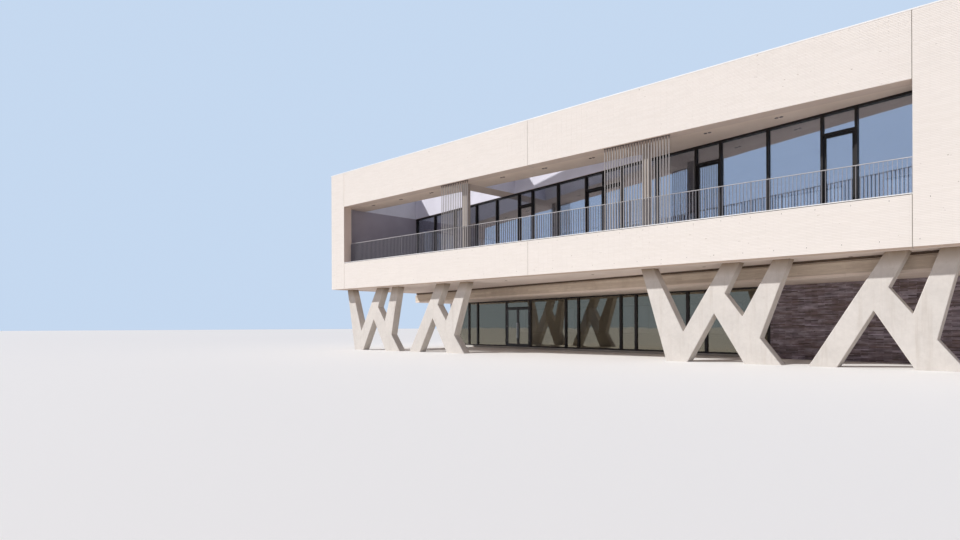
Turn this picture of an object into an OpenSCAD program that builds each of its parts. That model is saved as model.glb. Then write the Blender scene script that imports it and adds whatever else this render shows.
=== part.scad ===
// School building: an upper storey behind one long skewed front wall, carried clear of the
// ground by zig-zag concrete supports, over a glazed ground floor that is set far back.
// X runs along the back wall, Y into the building, Z up. Sizes are in millimetres.

/* [Plan] */
// Width of one structural bay, measured along the back wall
bay_w = 4970; // [4800:10:5150]
// Number of bays along the back wall
bay_n = 7; // [7:1:8]
// Depth of the building, from its foremost corner to the back wall
building_d = 16000; // [15500:10:17500]
// Angle between the front wall and the rest of the building, in degrees
front_skew = 9.7; // [9:0.1:10.2]
// Thickness of the front wall
front_wall_t = 560; // [450:10:650]
// Thickness of the left end wall
end_wall_t = 750; // [500:10:850]
// Thickness of the other outer walls
wall_t = 400; // [300:10:450]

/* [Heights] */
// Underside of the upper volume
soffit_z = 3820; // [3700:10:4000]
// Top of the lower front band, on which the railing stands
opening_bottom_z = 5470; // [5400:10:5600]
// Underside of the upper front band and of the loggia ceiling
opening_top_z = 8950; // [8800:10:9100]
// Top of the roof edge
roof_top_z = 11090; // [10900:10:11300]
// Top of the roof deck, inside the raised roof edge
roof_deck_z = 10650; // [10500:10:10750]
// Floor of the upper storey
upper_floor_z = 5420; // [5350:10:5440]
// Top of the ground floor slab
ground_floor_z = 120; // [100:5:150]
// Underside of the concrete band, and ceiling of the ground floor
band_bottom_z = 3160; // [3100:10:3250]

/* [Front wall] */
// From the left corner to the opening, along the front
opening_left_s = 1280; // [1000:10:1400]
// From the left corner to the joint in the bands, along the front
band_joint_s = 15150; // [14000:10:16500]
// From the far side of the opening to the right corner, along the front
closed_wall_w = 5965; // [5600:5:6300]
// Width of a movement joint in the front wall
joint_w = 20; // [10:1:30]
// Depth of a joint's filling behind the face of the wall
joint_recess = 12; // [5:1:30]
// Thickness of the metal sills
sill_t = 30; // [20:5:40]
// Thickness of the metal coping on the roof edge
coping_t = 40; // [20:5:60]
// Overhang of the copings past the face of a wall
drip = 15; // [5:1:25]

/* [Supports] */
// From the front face back to the supports
support_recess = 850; // [700:10:870]
// Thickness of a support, square to the front
support_t = 420; // [350:10:480]
// Width of a limb where it meets the soffit
limb_w = 620; // [500:10:700]
// Width of the left foot
foot_left_w = 850; // [750:10:900]
// Width of the right foot
foot_right_w = 1250; // [1150:10:1300]
// Height of the crotch between the two feet
crotch_z = 1900; // [1800:10:2000]
// Height of the notch between the two upper limbs
notch_z = 1780; // [1700:10:1850]
// Height of the bend where the middle limb leaves the left one
bend_z = 2660; // [2550:10:2750]
// Height of the knee in the right edge
knee_z = 970; // [900:10:1050]
// Height of the notch beside an extra left limb
side_notch_z = 1200; // [1100:10:1300]
// Extra lean of the limbs that face the wide gap in the row
lean = 360; // [200:10:400]

/* [Concrete band] */
// From the upper glazing back to the face of the band
band_setback = 495; // [400:5:600]
// Thickness of the band
band_t = 500; // [400:10:600]
// Height of the shadow gap over the band
shadow_gap = 150; // [80:10:180]
// Depth of the shadow gap
shadow_gap_d = 80; // [40:5:120]

/* [Ground floor] */
// From the band's face back to the ground floor glazing
ground_setback = 2930; // [2700:10:3100]
// From the left corner of the building to the ground floor's end wall
ground_inset = 300; // [200:10:400]
// Thickness of the ground floor walls
ground_wall_t = 350; // [300:10:400]
// Width of a wide ground floor pane
ground_pane_w = 2920; // [2850:5:2950]
// Width of a narrow ground floor pane
ground_slim_w = 945; // [900:5:960]
// Width of the first ground floor pane
ground_first_w = 1800; // [1600:10:2000]

/* [Doors] */
// Width of the doorway with its frame
door_w = 2200; // [2000:10:2300]
// Height of the leaves' top above the ground
door_head_z = 2620; // [2500:10:2700]
// Thickness of a leaf
leaf_t = 60; // [45:1:70]
// Width of a leaf's stile
stile_w = 95; // [80:1:110]
// Running gap round a leaf
leaf_gap = 8; // [6:1:10]
// Radius of a hinge's barrel
hinge_r = 12; // [9:1:14]
// Height of one half of a hinge
hinge_h = 60; // [50:1:80]
// Clearance between a hinge's barrel and the face of the leaf
hinge_clear = 2; // [1:0.5:4]
// Length of a door pull
pull_l = 1000; // [600:10:1300]
// Height of a pull's middle above the floor
pull_mid_z = 1050; // [950:10:1150]
// Diameter of a pull
pull_d = 26; // [20:1:34]
// From the face of the leaf to the middle of the pull
pull_reach = 60; // [50:1:80]

/* [Glazing] */
// Visible width of a mullion
mullion_w = 80; // [60:5:110]
// Depth of the outer caps of a glazed wall
cap_d = 40; // [30:5:60]
// Depth of the inner mullions
mullion_d = 90; // [60:5:120]
// Depth of the upper glazing's outer fins, which carry it in place of deep mullions
upper_cap_d = 100; // [60:5:120]
// Depth of the flat inner strips of the upper glazing
upper_mullion_d = 30; // [20:5:60]
// Thickness of the glass
glass_t = 30; // [20:2:40]
// Width of a wide upper pane
upper_pane_w = 1840; // [1800:5:1860]
// Width of an upper door pane
upper_door_w = 1050; // [1000:5:1070]
// Height of the upper doors' head
upper_door_head_z = 8140; // [8000:10:8250]
// Width of an upper door leaf's own frame
upper_leaf_w = 70; // [55:5:90]
// Open joint round an upper door leaf
upper_leaf_gap = 15; // [8:1:20]
// Depth of an upper door leaf's frame in front of the glass
upper_leaf_d = 28; // [20:1:30]
// Setback of the upper glazing from the wall above it
glazing_recess = 50; // [20:5:90]

/* [Loggia] */
// Depth of the ceiling strip, from the front face
strip_d = 1840; // [1700:10:1950]
// Thickness of the wall that rises from the strip's inner edge to the roof edge
strip_wall_t = 250; // [200:10:350]
// Thickness of the roof deck
roof_t = 300; // [250:10:400]
// Thickness of the ceilings under the roof
ceiling_t = 200; // [150:10:250]
// Width of a cross beam over the loggia
cross_beam_w = 1090; // [900:10:1200]
// From the second grid line to the right face of the left cross beam
beam_left_past = 670; // [500:10:800]
// From the fourth grid line to the right face of the right cross beam
beam_right_past = 480; // [400:10:600]
// Side of a slim column
column_w = 300; // [250:10:350]
// Clearance between the front wall and a slim column
column_gap = 60; // [40:5:100]

/* [Railing and rods] */
// Height of the railing over the sill
railing_h = 1230; // [1100:10:1300]
// Number of railing panels
railing_n = 6; // [5:1:7]
// Gap between two railing panels
railing_gap = 20; // [10:1:40]
// Side of a railing bar
railing_bar = 16; // [12:1:20]
// Distance from one railing bar to the next
railing_pitch = 120; // [110:5:140]
// Width of the railing's rails
rail_w = 50; // [40:2:60]
// Thickness of the railing's rails
rail_t = 25; // [15:1:30]
// Diameter of a screen rod
rod_d = 38; // [30:1:45]
// Distance from one screen rod to the next
rod_pitch = 120; // [110:5:135]
// From the left screen's first rod to the far side of the slim column behind it
rod_left_lead = 1355; // [1200:5:1500]
// Number of rods in the left screen
rod_left_n = 16; // [12:1:18]
// From the right screen's first rod to the far side of the slim column behind it
rod_right_lead = 1750; // [1600:10:1900]
// Number of rods in the right screen
rod_right_n = 24; // [20:1:26]
// Distance of the rods behind the front face
rod_b = 160; // [100:10:250]
// Thickness of the plates that hold the rods
rod_plate_t = 15; // [10:1:25]

/* [Floors] */
// Thickness of the soffit slab
soffit_t = 250; // [200:10:300]
// Thickness of the upper floor
upper_floor_t = 300; // [250:10:350]
// Width of the beams between soffit and floor
floor_beam_w = 400; // [300:10:500]
// Thickness of the plate over the ground floor
ceiling_plate_t = 200; // [150:10:250]

/* [Unseen sides] */
// Width of a window in the back and end walls
window_w = 3400; // [3000:10:3450]
// Sill of the upper windows
upper_window_sill_z = 6320; // [6200:10:6500]
// Head of the upper windows
upper_window_head_z = 8400; // [8200:10:8600]
// Sill of the ground floor windows
ground_window_sill_z = 900; // [700:10:1100]
// Head of the ground floor windows
ground_window_head_z = 2800; // [2600:10:2900]
// Setback of a window in its wall
reveal = 120; // [80:5:140]

/* [Hidden] */

building_l = bay_w * bay_n;
front_l = building_l / cos(front_skew);
opening_right_s = front_l - closed_wall_w;
wall_top_z = roof_top_z - coping_t;
glazing_y = building_l * tan(front_skew);
band_y = glazing_y + band_setback;
ground_glass_y = band_y + ground_setback;
glazed_wall_d = cap_d + glass_t + mullion_d;
concrete = [0.80, 0.77, 0.72];
white_brick = [0.93, 0.91, 0.87];
dark_brick = [0.36, 0.33, 0.33];
frame_dark = [0.17, 0.16, 0.15];
pane = [0.55, 0.66, 0.68, 0.5];
light_metal = [0.72, 0.73, 0.74];
joint_dark = [0.30, 0.29, 0.28];

// Y of the line that lies b behind the front face, at the grid position x
function front_y(x, b) = x * tan(front_skew) + b / cos(front_skew);
// X at which the line b behind the front face reaches the depth y
function front_x(y, b) = (y - b / cos(front_skew)) / tan(front_skew);
// Running sums of a list of widths, from the position x0
function marks(widths, x0, i = 0) =
    i > len(widths) ? [] : concat([x0], marks(widths, x0 + (i < len(widths) ? widths[i] : 0), i + 1));

inner_left_x = end_wall_t;
inner_right_x = building_l - wall_t;
inner_back_y = building_d - wall_t;
plan_centre = [building_l / 2, (building_d + drip + front_y(-drip, -drip)) / 2, 0];

ground_widths = [
    ground_first_w, ground_slim_w, ground_pane_w, door_w, ground_pane_w, ground_slim_w,
    ground_pane_w, ground_slim_w, ground_pane_w, ground_slim_w, ground_pane_w
];
door_bay = 3;
ground_marks = marks(ground_widths, ground_inset + ground_wall_t);
brick_x = ground_marks[len(ground_marks) - 1];
door_x = ground_marks[door_bay];

glazing_front_y = glazing_y + glazing_recess;
upper_glass_y = glazing_front_y + upper_cap_d;
upper_end_x = front_x(glazing_front_y, front_wall_t) - mullion_w;
// The pane row of the upper glazing: w is a wide pane, d a door pane
upper_row = "wwdwwddwwdwwdwww";
row_x = 7180;
left_panes = 3;
upper_left_w = (row_x - inner_left_x) / left_panes;
upper_widths = concat(
    [for (i = [1:left_panes]) upper_left_w],
    [for (c = upper_row) c == "d" ? upper_door_w : upper_pane_w]
);
upper_marks = [for (x = marks(upper_widths, inner_left_x)) if (x < upper_end_x - upper_door_w / 2) x];

leaf_w = (door_w - 2 * mullion_w - 4 * leaf_gap) / 2;
leaf_bottom_z = ground_floor_z + leaf_gap;
leaf_top_z = door_head_z - leaf_gap;
hinge_y = ground_glass_y - hinge_r - hinge_clear;
hinge_left = [door_x + mullion_w + leaf_gap, hinge_y];
hinge_right = [door_x + door_w - mullion_w - leaf_gap, hinge_y];
hinge_levels = [0.12, 0.5, 0.88];
hinge_play = 0.3;
hinge_plate_w = 40;
hinge_plate_t = 8;
pull_stay_in = 150;
pull_stay_d = 18;
pull_let_in = 15;

beam_left_x = 2 * bay_w + beam_left_past;
beam_right_x = 4 * bay_w + beam_right_past;
round_n = 24;
// How far a cutting shape reaches past what it cuts
past = 1000;

// Draws in the building's own frame: the origin is on the ground, under the middle of the plan
module placed() {
    translate(-plan_centre) children();
}

// Turns a piece that is drawn along the front wall
module along_front() {
    rotate(front_skew) children();
}

module prism(outline, z0, z1) {
    translate([0, 0, z0]) linear_extrude(z1 - z0) polygon(outline);
}

module block(x, y, z) {
    translate([x[0], y[0], z[0]]) cube([x[1] - x[0], y[1] - y[0], z[1] - z[0]]);
}

// What lies from s[0] to s[1] along the front, and from b[0] to b[1] behind its face
module front_zone(s, b) {
    along_front() block(s, b, [-past, roof_top_z + past]);
}

// A stretch of wall along the front, with level ends
module front_block(s, b, z) {
    intersection() {
        front_zone(s, b);
        block([-past, building_l + past], [-past, building_d + past], z);
    }
}

// Trims what is drawn inside it to a strip of the plan behind the front face
module in_front_strip(b) {
    intersection() {
        children();
        front_zone([-building_d, front_l + building_d], b);
    }
}

// Trims what is drawn inside it to the back of the front wall
module behind_front() {
    in_front_strip([front_wall_t, 2 * building_d]) children();
}

// A stretch of front wall that ends in line with the outer faces of the end walls
module corner_block(s, z) {
    intersection() {
        front_block(s, [0, front_wall_t], z);
        block([0, building_l], [-past, building_d], [0, roof_top_z]);
    }
}

// A flat grid of bars in the XZ plane, open between its marks and under its rails
module bar_grid(xs, z, w, y, rails = []) {
    difference() {
        block([xs[0], xs[len(xs) - 1]], y, z);
        for (i = [0:len(xs) - 2]) {
            x0 = xs[i] + (i == 0 ? w : w / 2);
            x1 = xs[i + 1] - (i == len(xs) - 2 ? w : w / 2);
            cut_z = rails[i] == undef ? z[1] - w : rails[i];
            block([x0, x1], [y[0] - w, y[1] + w], [z[0] + w, cut_z]);
            if (rails[i] != undef)
                block([x0, x1], [y[0] - w, y[1] + w], [rails[i] + w, z[1] - w]);
        }
    }
}

// A glazed wall's caps outside the glass and mullions inside it
module glazed_wall(xs, z, y, rails = [], outer_d = cap_d, inner_d = mullion_d) {
    inner_y = y + outer_d + glass_t;
    bar_grid(xs, z, mullion_w, [y, y + outer_d], rails);
    bar_grid(xs, z, mullion_w, [inner_y, inner_y + inner_d], rails);
}

module glass_sheet(x, z, y, outer_d = cap_d) {
    block(x, [y + outer_d, y + outer_d + glass_t], z);
}

// The places of the windows along a wall, one in the middle of each bay
function bay_windows(n, pitch, first) = [for (i = [0:n - 1]) first + pitch * (i + 0.5)];

module window_holes(centres, z, y) {
    for (x = centres)
        block([x - window_w / 2, x + window_w / 2], [y - wall_t, y + 2 * wall_t], z);
}

// A window is divided into equal lights by its mullions
window_lights = 3;

module window_frames(centres, z, y) {
    for (x = centres)
        glazed_wall([for (i = [0:window_lights]) x + (i / window_lights - 1 / 2) * window_w], z, y);
}

module window_panes(centres, z, y) {
    for (x = centres)
        glass_sheet([x - window_w / 2, x + window_w / 2], z, y);
}

back_windows = bay_windows(bay_n, bay_w, 0);
back_frame_y = building_d - reveal - glazed_wall_d;
end_window_n = 2;
end_window_pitch = (inner_back_y - glazing_y) / end_window_n;
end_windows = bay_windows(end_window_n, end_window_pitch, glazing_y);
upper_window_z = [upper_window_sill_z, upper_window_head_z];
ground_window_z = [ground_window_sill_z, ground_window_head_z];

// Lays what is drawn along X with its outer face at y = 0 onto the left end wall
module on_left_end() {
    mirror([1, -1, 0]) children();
}

module ground_slab() {
    color(concrete) placed()
        prism([
            [ground_inset + ground_wall_t, ground_glass_y],
            [brick_x, ground_glass_y],
            [brick_x, ground_glass_y + ground_wall_t],
            [building_l - ground_wall_t, ground_glass_y + ground_wall_t],
            [building_l - ground_wall_t, building_d - ground_wall_t],
            [ground_inset + ground_wall_t, building_d - ground_wall_t]
        ], 0, ground_floor_z);
}

module ground_end_wall_left() {
    color(dark_brick) placed()
        block([ground_inset, ground_inset + ground_wall_t],
            [ground_glass_y, building_d - ground_wall_t], [0, band_bottom_z]);
}

module ground_end_wall_right() {
    color(dark_brick) placed()
        block([building_l - ground_wall_t, building_l],
            [ground_glass_y + ground_wall_t, building_d - ground_wall_t], [0, band_bottom_z]);
}

module ground_back_wall() {
    color(dark_brick) placed()
        difference() {
            block([ground_inset, building_l], [building_d - ground_wall_t, building_d],
                [0, band_bottom_z]);
            window_holes(back_windows, ground_window_z, building_d - ground_wall_t);
        }
}

module ground_back_frames() {
    color(frame_dark) placed()
        window_frames(back_windows, ground_window_z, back_frame_y);
}

module ground_back_glass() {
    color(pane) placed()
        window_panes(back_windows, ground_window_z, back_frame_y);
}

module ground_brick_wall() {
    color(dark_brick) placed()
        block([brick_x, building_l], [ground_glass_y, ground_glass_y + ground_wall_t],
            [0, band_bottom_z]);
}

left_marks = [for (i = [0:door_bay]) ground_marks[i]];
right_marks = [for (i = [door_bay + 1:len(ground_marks) - 1]) ground_marks[i]];
ground_glazed_z = [ground_floor_z, band_bottom_z];

module ground_frames() {
    color(frame_dark) placed() {
        glazed_wall(left_marks, ground_glazed_z, ground_glass_y);
        glazed_wall(right_marks, ground_glazed_z, ground_glass_y);
    }
}

module ground_glass() {
    color(pane) placed() {
        glass_sheet([left_marks[0], door_x], ground_glazed_z, ground_glass_y);
        glass_sheet([door_x + door_w, brick_x], ground_glazed_z, ground_glass_y);
        glass_sheet([door_x + mullion_w, door_x + door_w - mullion_w],
            [door_head_z + mullion_w, band_bottom_z - mullion_w], ground_glass_y);
    }
}

// One half of each hinge on a door: side is 1 for a plate that reaches to the right
module hinge_halves(axis, side, z_shift) {
    for (level = hinge_levels) {
        z0 = leaf_bottom_z + level * (leaf_top_z - leaf_bottom_z) + z_shift;
        translate([axis[0], axis[1], z0]) {
            cylinder(h = hinge_h, r = hinge_r, $fn = round_n);
            translate([side > 0 ? hinge_play : -hinge_plate_w - hinge_play,
                    hinge_r + hinge_clear - hinge_plate_t, 0])
                cube([hinge_plate_w, hinge_plate_t, hinge_h]);
        }
    }
}

module door_frame() {
    color(frame_dark) placed() {
        difference() {
            block([door_x, door_x + door_w], [ground_glass_y, ground_glass_y + glazed_wall_d],
                [ground_floor_z, band_bottom_z]);
            for (z = [[0, door_head_z], [door_head_z + mullion_w, band_bottom_z - mullion_w]])
                block([door_x + mullion_w, door_x + door_w - mullion_w],
                    [ground_glass_y - mullion_w, ground_glass_y + 2 * glazed_wall_d], z);
        }
        hinge_halves(hinge_left, -1, 0);
        hinge_halves(hinge_right, 1, 0);
    }
}

// A leaf is drawn from its hinge edge at x = 0 to the right; dir turns it for the other side
module leaf_frame(x, dir) {
    x0 = dir > 0 ? x : x - leaf_w;
    difference() {
        block([x0, x0 + leaf_w], [ground_glass_y, ground_glass_y + leaf_t], [leaf_bottom_z, leaf_top_z]);
        block([x0 + stile_w, x0 + leaf_w - stile_w], [ground_glass_y - leaf_t, ground_glass_y + 2 * leaf_t],
            [leaf_bottom_z + 2 * stile_w, leaf_top_z - stile_w]);
    }
}

// An upright bar on two short stays, on the outer face of a leaf's meeting stile
module door_pull(x, dir) {
    bar_x = x + dir * (leaf_w - stile_w / 2);
    bar_z = ground_floor_z + pull_mid_z - pull_l / 2;
    translate([bar_x, ground_glass_y - pull_reach, bar_z]) {
        cylinder(h = pull_l, d = pull_d, $fn = round_n);
        for (z = [pull_stay_in, pull_l - pull_stay_in])
            translate([0, 0, z]) rotate([-90, 0, 0])
                cylinder(h = pull_reach + pull_let_in, d = pull_stay_d, $fn = round_n);
    }
}

module leaf_pane(x, dir) {
    x0 = dir > 0 ? x : x - leaf_w;
    glass_y = ground_glass_y + (leaf_t - glass_t) / 2;
    block([x0 + stile_w, x0 + leaf_w - stile_w], [glass_y, glass_y + glass_t],
        [leaf_bottom_z + 2 * stile_w, leaf_top_z - stile_w]);
}

module door_leaf_left() {
    color(frame_dark) placed() {
        leaf_frame(hinge_left[0], 1);
        door_pull(hinge_left[0], 1);
        hinge_halves(hinge_left, 1, hinge_h + hinge_play);
    }
}

module door_leaf_right() {
    color(frame_dark) placed() {
        leaf_frame(hinge_right[0], -1);
        door_pull(hinge_right[0], -1);
        hinge_halves(hinge_right, -1, hinge_h + hinge_play);
    }
}

module door_glass_left() {
    color(pane) placed() leaf_pane(hinge_left[0], 1);
}

module door_glass_right() {
    color(pane) placed() leaf_pane(hinge_right[0], -1);
}

// Profile of the band, with the shadow gap under the soffit, drawn as depth against height
module concrete_band() {
    color(concrete) placed()
        translate([0, band_y, 0]) rotate([90, 0, 90])
            linear_extrude(building_l)
                polygon([
                    [0, band_bottom_z], [band_t, band_bottom_z], [band_t, soffit_z],
                    [shadow_gap_d, soffit_z], [shadow_gap_d, soffit_z - shadow_gap],
                    [0, soffit_z - shadow_gap]
                ]);
}

// A plate over the ground floor, with edge beams and a beam on each grid line over it
module ground_ceiling() {
    y0 = band_y + band_t;
    color(concrete) placed() {
        block([0, building_l], [y0, building_d], [band_bottom_z, band_bottom_z + ceiling_plate_t]);
        difference() {
            block([0, building_l], [y0, building_d], [band_bottom_z, soffit_z]);
            for (i = [0:bay_n - 1])
                block([i * bay_w + (i == 0 ? floor_beam_w : floor_beam_w / 2),
                        (i + 1) * bay_w - (i == bay_n - 1 ? floor_beam_w : floor_beam_w / 2)],
                    [y0 + floor_beam_w, building_d - floor_beam_w],
                    [band_bottom_z + ceiling_plate_t, soffit_z + ceiling_plate_t]);
        }
    }
}

// How far an edge of a support runs sideways for each unit of height
limb_run = 0.571;
crotch_run = 0.54;
bend_run = 0.456;
notch_run = 0.705;
knee_run = 0.73;
// The right limb's width as a share of the left one's
right_limb_share = 0.88;
foot_left_s = 1200;
foot_right_s = 4150;
crotch_s = foot_left_s + foot_left_w + crotch_run * crotch_z;
bend_s = foot_left_s + limb_run * soffit_z + limb_w - bend_run * (soffit_z - bend_z);
notch_s = bend_s + notch_run * (bend_z - notch_z);
knee_s = foot_right_s + foot_right_w - knee_run * knee_z;
right_limb_s = 4770;
side_limb_s = 500;
side_limb_w = 520;

// Points that are drawn along the skewed front, as they look from straight ahead
function seen_along_y(points) = [for (p = points) [p[0] * cos(front_skew), p[1]]];

// The outline of one support: a leaning limb on the left foot, a limb that crosses from it down
// to the right foot, and a limb that rises from that one; right_lean and left_lean splay the
// outer limbs, and an extra left limb rises from the left foot where side is true
module support_outline(right_lean, left_lean, side) {
    polygon(seen_along_y([
        [foot_left_s, 0],
        [foot_left_s + limb_run * soffit_z, soffit_z],
        [foot_left_s + limb_run * soffit_z + limb_w, soffit_z],
        [bend_s, bend_z],
        [notch_s, notch_z],
        [right_limb_s + right_lean, soffit_z],
        [right_limb_s + right_lean + right_limb_share * limb_w, soffit_z],
        [knee_s, knee_z],
        [foot_right_s + foot_right_w, 0],
        [foot_right_s, 0],
        [crotch_s, crotch_z],
        [foot_left_s + foot_left_w, 0]
    ]));
    if (side)
        polygon(seen_along_y([
            [foot_left_s, 0],
            [side_limb_s - left_lean, soffit_z],
            [side_limb_s - left_lean + side_limb_w, soffit_z],
            [foot_left_s + limb_run * side_notch_z, side_notch_z]
        ]));
}

// A support's faces are parallel to the front wall, but its edges run straight into the building
module support(place, right_lean, left_lean, side) {
    reach = building_d / 2;
    shift_x = support_recess * sin(front_skew);
    color(concrete) placed()
        intersection() {
            translate([place * bay_w - shift_x, reach, 0]) rotate([90, 0, 0])
                linear_extrude(2 * reach) support_outline(right_lean, left_lean, side);
            front_block([-bay_w, (bay_n + 1) * bay_w], [support_recess, support_recess + support_t],
                [0, soffit_z]);
        }
}

module support_1() { support(0, 0, 0, true); }
module support_2() { support(1, lean, 0, false); }
module support_3() { support(4, lean, lean, true); }
module support_4() { support(5, 0, 0, false); }

module soffit_slab() {
    color(concrete) placed() behind_front()
        block([inner_left_x, inner_right_x], [0, inner_back_y], [soffit_z, soffit_z + soffit_t]);
}

module floor_beams() {
    color(concrete) placed() behind_front()
        for (i = [1:bay_n - 1])
            block([i * bay_w - floor_beam_w / 2, i * bay_w + floor_beam_w / 2], [0, inner_back_y],
                [soffit_z + soffit_t, upper_floor_z - upper_floor_t]);
}

module upper_floor() {
    color(concrete) placed() behind_front()
        block([inner_left_x, inner_right_x], [0, inner_back_y],
            [upper_floor_z - upper_floor_t, upper_floor_z]);
}

module front_pier() {
    color(white_brick) placed() corner_block([-past, opening_left_s], [soffit_z, wall_top_z]);
}

// The stretches of band left and right of the middle joint
band_left_s = [opening_left_s + joint_w, band_joint_s - joint_w / 2];
band_right_s = [band_joint_s + joint_w / 2, opening_right_s - joint_w];
upper_band_z = [opening_top_z, wall_top_z];
lower_band_z = [soffit_z, opening_bottom_z - sill_t];

module upper_band_left() {
    color(white_brick) placed() front_block(band_left_s, [0, front_wall_t], upper_band_z);
}

module upper_band_right() {
    color(white_brick) placed() front_block(band_right_s, [0, front_wall_t], upper_band_z);
}

module lower_band_left() {
    color(white_brick) placed() front_block(band_left_s, [0, front_wall_t], lower_band_z);
}

module lower_band_right() {
    color(white_brick) placed() front_block(band_right_s, [0, front_wall_t], lower_band_z);
}

// The filled joints beside and between the bands, set back a little from both faces
module movement_joints() {
    color(joint_dark) placed()
        for (s = [opening_left_s, band_joint_s - joint_w / 2, opening_right_s - joint_w])
            for (z = [upper_band_z, lower_band_z])
                front_block([s, s + joint_w], [joint_recess, front_wall_t - joint_recess], z);
}

module band_sill() {
    color(light_metal) placed()
        front_block([opening_left_s, opening_right_s], [-drip, front_wall_t],
            [opening_bottom_z - sill_t, opening_bottom_z]);
}

module front_wall_right() {
    color(white_brick) placed()
        corner_block([opening_right_s, front_l + past], [soffit_z, wall_top_z]);
}

module end_wall_left() {
    color(white_brick) placed()
        difference() {
            behind_front() block([0, inner_left_x], [0, inner_back_y], [soffit_z, wall_top_z]);
            on_left_end() window_holes(end_windows, upper_window_z, 0);
        }
}

module end_wall_right() {
    color(white_brick) placed() behind_front()
        block([inner_right_x, building_l], [0, inner_back_y], [soffit_z, wall_top_z]);
}

module back_wall() {
    color(white_brick) placed()
        difference() {
            block([0, building_l], [inner_back_y, building_d], [soffit_z, wall_top_z]);
            window_holes(back_windows, upper_window_z, inner_back_y);
        }
}

module upper_window_frames() {
    color(frame_dark) placed() {
        window_frames(back_windows, upper_window_z, back_frame_y);
        on_left_end() window_frames(end_windows, upper_window_z, reveal);
    }
}

module upper_window_glass() {
    color(pane) placed() {
        window_panes(back_windows, upper_window_z, back_frame_y);
        on_left_end() window_panes(end_windows, upper_window_z, reveal);
    }
}

// Folded sills that run from the windows' frames over the face of the wall
module sills(centres, z, y) {
    for (x = centres)
        block([x - window_w / 2, x + window_w / 2], y, [z, z + sill_t]);
}

module window_sills() {
    color(light_metal) placed() {
        for (z = [ground_window_sill_z, upper_window_sill_z])
            sills(back_windows, z, [building_d - reveal, building_d + drip]);
        on_left_end() sills(end_windows, upper_window_sill_z, [-drip, reveal]);
    }
}

upper_all_marks = concat(upper_marks, [upper_end_x]);
// Door panes have a rail at the head of the door
upper_rails = [for (i = [0:len(upper_all_marks) - 2])
    i >= left_panes && upper_row[i - left_panes] == "d" ? upper_door_head_z : undef];

// The frame of a door leaf, between the posts of its pane and on the outer side of the glass
module upper_leaf(x) {
    edge = mullion_w / 2 + upper_leaf_gap;
    bar_grid([x[0] + edge, x[1] - edge],
        [upper_floor_z + mullion_w + upper_leaf_gap, upper_door_head_z - upper_leaf_gap],
        upper_leaf_w, [upper_glass_y - upper_leaf_d, upper_glass_y]);
}

module upper_glazing_frames() {
    color(frame_dark) placed() {
        glazed_wall(upper_all_marks, [upper_floor_z, opening_top_z], glazing_front_y, upper_rails,
            upper_cap_d, upper_mullion_d);
        for (i = [0:len(upper_rails) - 1])
            if (upper_rails[i] != undef)
                upper_leaf([upper_all_marks[i], upper_all_marks[i + 1]]);
    }
}

module upper_glazing_glass() {
    color(pane) placed()
        glass_sheet([inner_left_x, upper_end_x], [upper_floor_z, opening_top_z], glazing_front_y,
            upper_cap_d);
}

roof_line_y = glazing_y + wall_t;
ceiling_z = [opening_top_z, opening_top_z + ceiling_t];
deck_z = [roof_deck_z - roof_t, roof_deck_z];

// It rises over the roof beside the open part of the loggia and ends under the deck beyond it
module wall_over_glazing() {
    color(white_brick) placed() {
        block([inner_left_x, beam_right_x], [glazing_y, roof_line_y], [opening_top_z, wall_top_z]);
        behind_front()
            block([beam_right_x, inner_right_x], [glazing_y, roof_line_y], [opening_top_z, deck_z[0]]);
    }
}

module cross_beams() {
    color(white_brick) placed() behind_front()
        for (x = [beam_left_x, beam_right_x])
            block([x - cross_beam_w, x], [0, glazing_y], [opening_top_z, wall_top_z]);
}

// The far side of the slim column that stands under the right side of a cross beam, close
// behind the front wall, as a distance along the front
column_b = front_wall_t + column_gap;
function column_s(x) = (x + column_b * sin(front_skew)) / cos(front_skew);

module slim_columns() {
    color(concrete) placed()
        for (x = [beam_left_x, beam_right_x])
            front_block([column_s(x) - column_w, column_s(x)], [column_b, column_b + column_w],
                [upper_floor_z, opening_top_z]);
}

// The stretches of the loggia that are open to the sky, beside and between the cross beams
open_spans = [
    [inner_left_x, beam_left_x - cross_beam_w],
    [beam_left_x, beam_right_x - cross_beam_w]
];

// A hollow box along the front wall: ceiling, roof deck and the wall round the open part
module loggia_ceiling_strips() {
    color(concrete) placed()
        for (x = open_spans) {
            in_front_strip([front_wall_t, strip_d])
                for (z = [ceiling_z, deck_z])
                    block(x, [0, building_d], z);
            in_front_strip([strip_d - strip_wall_t, strip_d])
                block(x, [0, building_d], [opening_top_z, wall_top_z]);
        }
}

// The ceiling and the roof deck of the closed end of the loggia
module loggia_roof() {
    color(concrete) placed() behind_front() {
        block([beam_right_x, building_l], [0, glazing_y], ceiling_z);
        block([beam_right_x, building_l], [0, roof_line_y], deck_z);
    }
}

module upper_ceiling() {
    color(concrete) placed() behind_front()
        block([inner_left_x, inner_right_x], [roof_line_y, inner_back_y], ceiling_z);
}

// The roof deck over the rooms, with a beam on each grid line that rests on the ceiling
module roof_slab() {
    color(concrete) placed() behind_front() {
        block([inner_left_x, inner_right_x], [roof_line_y, inner_back_y], deck_z);
        for (i = [1:bay_n - 1])
            block([i * bay_w - floor_beam_w / 2, i * bay_w + floor_beam_w / 2],
                [roof_line_y, inner_back_y], [ceiling_z[1], deck_z[1]]);
    }
}

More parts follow.
